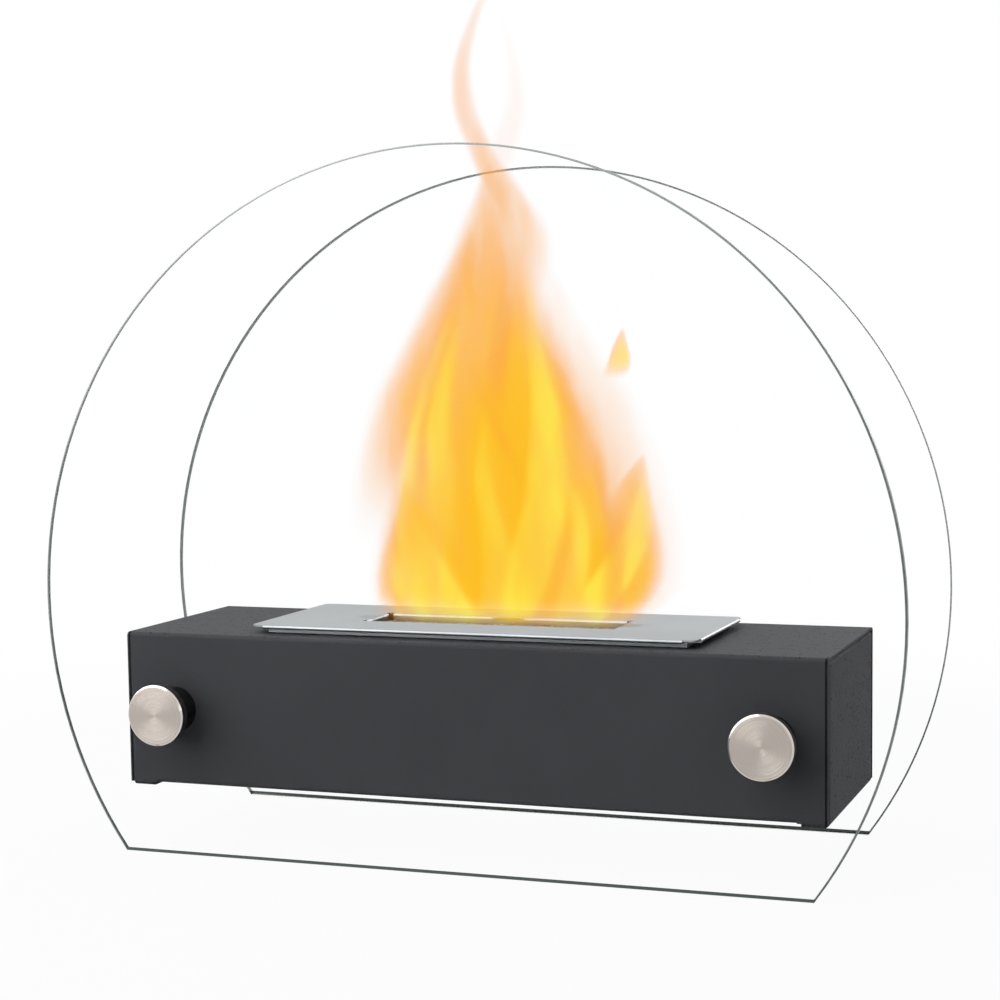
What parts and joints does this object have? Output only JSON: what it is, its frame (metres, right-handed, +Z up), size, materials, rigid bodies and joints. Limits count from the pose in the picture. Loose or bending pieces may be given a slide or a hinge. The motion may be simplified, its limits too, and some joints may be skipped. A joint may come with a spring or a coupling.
{
  "type": "tabletop alcohol fireplace",
  "caption": "Tabletop alcohol fireplace: a black folded-steel fire box with a lift-out slot burner, clamped between round glass panes by screw knobs.",
  "frame": {"origin": "on the table, under the centre of the fire box and midway between the panes", "axes": "+X along the fire box to the viewer's right, +Y from the front pane to the rear pane, +Z up"},
  "size_m": [0.4, 0.141, 0.3175],
  "materials": {
    "black_coat": "satin black powder coat with a fine orange-peel grain",
    "clear_glass": "polished clear, ground grey-green edges",
    "turned_steel": "circular turned face with a polished bevel",
    "zinc_steel": "zinc plated",
    "satin_steel": "satin stainless sheet",
    "gauze_steel": "heat-tinted stainless gauze",
    "black_rubber": "matt",
    "black_nylon": "moulded, matt",
    "ceramic_fibre": "matted fibre"
  },
  "bodies": {
    "fire_box": {"body_wrapper": "black_coat", "left_end_cap": "black_coat", "right_end_cap": "black_coat", "front_glass_pane": "clear_glass", "rear_glass_pane": "clear_glass", "pane_spacers": "black_nylon", "weld_nuts": "zinc_steel"},
    "burner": {"burner_plate": "satin_steel", "burner_tray": "satin_steel", "ceramic_wool": "ceramic_fibre", "mesh_screen": "gauze_steel"},
    "front_left_washer": {"front_left_washer": "black_rubber"},
    "front_left_screw": {"front_left_knob": "turned_steel", "front_left_stud": "zinc_steel"},
    "front_right_washer": {"front_right_washer": "black_rubber"},
    "front_right_screw": {"front_right_knob": "turned_steel", "front_right_stud": "zinc_steel"},
    "rear_left_washer": {"rear_left_washer": "black_rubber"},
    "rear_left_screw": {"rear_left_knob": "turned_steel", "rear_left_stud": "zinc_steel"},
    "rear_right_washer": {"rear_right_washer": "black_rubber"},
    "rear_right_screw": {"rear_right_knob": "turned_steel", "rear_right_stud": "zinc_steel"}
  },
  "joints": [
    {"name": "burner_lift", "type": "slide", "parent": "fire_box", "child": "burner", "axis": [0, 0, 1], "range_m": [0, 0.055]},
    {"name": "front_left_travel", "type": "slide", "parent": "fire_box", "child": "front_left_washer", "axis": [0, -1, 0], "range_m": [0, 0.0075]},
    {"name": "front_left_turn", "type": "hinge", "parent": "front_left_washer", "child": "front_left_screw", "pos_m": [-0.141, -0.068, 0.06525], "axis": [0, -1, 0], "range_deg": [0, 2700]},
    {"name": "front_right_travel", "type": "slide", "parent": "fire_box", "child": "front_right_washer", "axis": [0, -1, 0], "range_m": [0, 0.0075]},
    {"name": "front_right_turn", "type": "hinge", "parent": "front_right_washer", "child": "front_right_screw", "pos_m": [0.141, -0.068, 0.06525], "axis": [0, -1, 0], "range_deg": [0, 2700]},
    {"name": "rear_left_travel", "type": "slide", "parent": "fire_box", "child": "rear_left_washer", "axis": [0, 1, 0], "range_m": [0, 0.0075]},
    {"name": "rear_left_turn", "type": "hinge", "parent": "rear_left_washer", "child": "rear_left_screw", "pos_m": [-0.141, 0.068, 0.06525], "axis": [0, 1, 0], "range_deg": [0, 2700]},
    {"name": "rear_right_travel", "type": "slide", "parent": "fire_box", "child": "rear_right_washer", "axis": [0, 1, 0], "range_m": [0, 0.0075]},
    {"name": "rear_right_turn", "type": "hinge", "parent": "rear_right_washer", "child": "rear_right_screw", "pos_m": [0.141, 0.068, 0.06525], "axis": [0, 1, 0], "range_deg": [0, 2700]}
  ],
  "couplings": [
    {"joint": "front_left_travel", "follows": "front_left_turn", "m_per_rad": 0.00015915},
    {"joint": "front_right_travel", "follows": "front_right_turn", "m_per_rad": 0.00015915},
    {"joint": "rear_left_travel", "follows": "rear_left_turn", "m_per_rad": 0.00015915},
    {"joint": "rear_right_travel", "follows": "rear_right_turn", "m_per_rad": 0.00015915}
  ]
}
